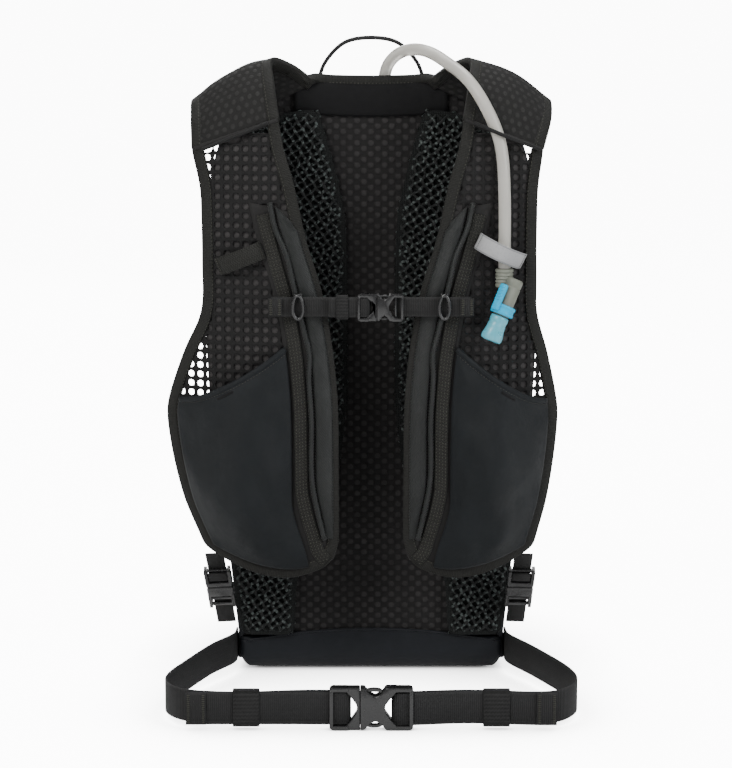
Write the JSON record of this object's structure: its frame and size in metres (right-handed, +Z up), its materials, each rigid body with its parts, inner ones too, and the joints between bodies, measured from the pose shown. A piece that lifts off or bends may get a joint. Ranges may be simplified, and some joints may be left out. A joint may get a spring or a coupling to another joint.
{
  "type": "hydration pack",
  "caption": "Vest-style hydration pack with mesh harness wings, stretch pockets, sternum strap on rails, buckled hip belt, drinking hose with bite valve, and haul loop.",
  "frame": {"origin": "on the ground under the middle of the base panel", "axes": "+Z up, -Y towards the wearer's side with the harness, +Y towards the outer front pocket, +X to the right when the harness is looked at"},
  "size_m": [0.3173, 0.3356, 0.5122],
  "materials": {
    "pack_fabric": "woven recycled polyester, matt",
    "base_fabric": "coated woven, slight sheen",
    "mesh": "open knitted mesh, matt",
    "pad_mesh": "coarse spacer mesh with glossy yarn",
    "shoulder_mesh": "padded mesh, matt",
    "stretch_fabric": "four-way stretch knit, matt",
    "satin_fabric": "fine satin weave",
    "webbing": "ribbed webbing and grosgrain",
    "acetal": "moulded, satin",
    "label_fabric": "woven tape, plain",
    "hose_tube": "clear flexible tube",
    "valve_grey": "moulded, satin",
    "valve_blue": "moulded, semi gloss",
    "silicone": "translucent silicone",
    "film": "welded film",
    "zip_tape": "coil zip on woven tape"
  },
  "bodies": {
    "root": {"front_panel": "pack_fabric", "upper_panel": "pack_fabric", "side_panel_left": "pack_fabric", "side_panel_right": "pack_fabric", "main_zip_chain": "zip_tape", "back_panel": "mesh", "base_panel": "base_fabric", "back_pad_left": "pad_mesh", "back_pad_right": "pad_mesh", "harness_wing_left": "mesh", "shoulder_left": "shoulder_mesh", "wing_pocket_left": "stretch_fabric", "strap_sleeve_left": "satin_fabric", "piping_rail_left": "webbing", "shoulder_cord_left": "webbing", "harness_wing_right": "mesh", "shoulder_right": "shoulder_mesh", "wing_pocket_right": "stretch_fabric", "strap_sleeve_right": "satin_fabric", "piping_rail_right": "webbing", "shoulder_cord_right": "webbing", "gear_loop_left": "webbing", "hose_loop_right": "label_fabric", "belt_buckle_female": "acetal", "belt_webbing_left": "webbing", "belt_webbing_right": "webbing", "belt_keeper_left": "webbing", "belt_keeper_right": "webbing", "adjuster_female_left": "acetal", "adjuster_strap_left": "webbing", "adjuster_female_right": "acetal", "adjuster_strap_right": "webbing", "haul_loop": "webbing", "reservoir": "film", "reservoir_slide_closure": "acetal", "reservoir_port": "acetal", "reservoir_sleeve": "pack_fabric", "hose_inner": "hose_tube", "hose": "hose_tube", "front_pocket": "pack_fabric", "front_pocket_zip_chain": "zip_tape"},
    "sternum_strap": {"sternum_webbing_left": "webbing", "sternum_webbing_right": "webbing", "sternum_buckle_female": "acetal"},
    "sternum_male": {"sternum_buckle_male": "acetal", "sternum_tail": "webbing", "sternum_keeper": "webbing"},
    "sternum_slider_left": {"sternum_slider_left": "acetal"},
    "sternum_slider_right": {"sternum_slider_right": "acetal"},
    "belt_male": {"belt_buckle_male": "acetal", "belt_tail_left": "webbing"},
    "adjuster_male_left": {"adjuster_male_left": "acetal"},
    "adjuster_male_right": {"adjuster_male_right": "acetal"},
    "bite_valve": {"valve_body": "valve_grey", "mouthpiece": "silicone"},
    "valve_lever": {"valve_lever": "valve_blue"},
    "main_zip_slider": {"main_zip_slider": "acetal"},
    "main_zip_pull": {"main_zip_pull": "webbing"},
    "front_pocket_zip_slider": {"front_pocket_zip_slider": "acetal"},
    "front_pocket_zip_pull": {"front_pocket_zip_pull": "webbing"}
  },
  "joints": [
    {"name": "sternum_height", "type": "slide", "parent": "root", "child": "sternum_strap", "axis": [0, 0, 1], "range_m": [-0.02, 0.02]},
    {"name": "slider_left_on_rail", "type": "slide", "parent": "root", "child": "sternum_slider_left", "axis": [-0.2186, 0, 0.9758], "range_m": [-0.0207, 0.0207]},
    {"name": "slider_right_on_rail", "type": "slide", "parent": "root", "child": "sternum_slider_right", "axis": [0.2186, 0, 0.9758], "range_m": [-0.0207, 0.0207]},
    {"name": "sternum_buckle_release", "type": "slide", "parent": "sternum_strap", "child": "sternum_male", "axis": [-1, 0, 0], "range_m": [0, 0.017]},
    {"name": "belt_buckle_release", "type": "slide", "parent": "root", "child": "belt_male", "axis": [-1, 0, 0], "range_m": [0, 0.034]},
    {"name": "adjuster_release_left", "type": "slide", "parent": "root", "child": "adjuster_male_left", "axis": [-0.0747, -0.6053, 0.7925], "range_m": [0, 0.014]},
    {"name": "adjuster_release_right", "type": "slide", "parent": "root", "child": "adjuster_male_right", "axis": [0.0365, -0.616, 0.7869], "range_m": [0, 0.014]},
    {"name": "valve_swivel", "type": "hinge", "parent": "root", "child": "bite_valve", "pos_m": [0.10166, -0.14717, 0.33848], "axis": [0, 0, 1], "range_deg": [0, 50]},
    {"name": "valve_shut_off", "type": "hinge", "parent": "bite_valve", "child": "valve_lever", "pos_m": [0.10506, -0.15297, 0.31898], "axis": [0.381, 0.1504, 0.9123], "range_deg": [0, 90]},
    {"name": "main_zip_run", "type": "slide", "parent": "root", "child": "main_zip_slider", "axis": [0.0851, -0.0244, 0.9961], "range_m": [-0.03, 0.08]},
    {"name": "main_zip_pull_swing", "type": "hinge", "parent": "main_zip_slider", "child": "main_zip_pull", "pos_m": [0.1147, 0.05973, 0.14607], "axis": [0.5156, -0.8543, -0.065], "range_deg": [0, 150]},
    {"name": "front_pocket_zip_run", "type": "slide", "parent": "root", "child": "front_pocket_zip_slider", "axis": [-1, 0, 0], "range_m": [0, 0.11]},
    {"name": "front_pocket_zip_pull_swing", "type": "hinge", "parent": "front_pocket_zip_slider", "child": "front_pocket_zip_pull", "pos_m": [0.05278, 0.07769, 0.29508], "axis": [0, -0.1408, 0.99], "range_deg": [0, 150]}
  ],
  "couplings": [
    {"joint": "slider_left_on_rail", "follows": "sternum_height", "ratio": 1.0248},
    {"joint": "slider_right_on_rail", "follows": "sternum_height", "ratio": 1.0248}
  ]
}
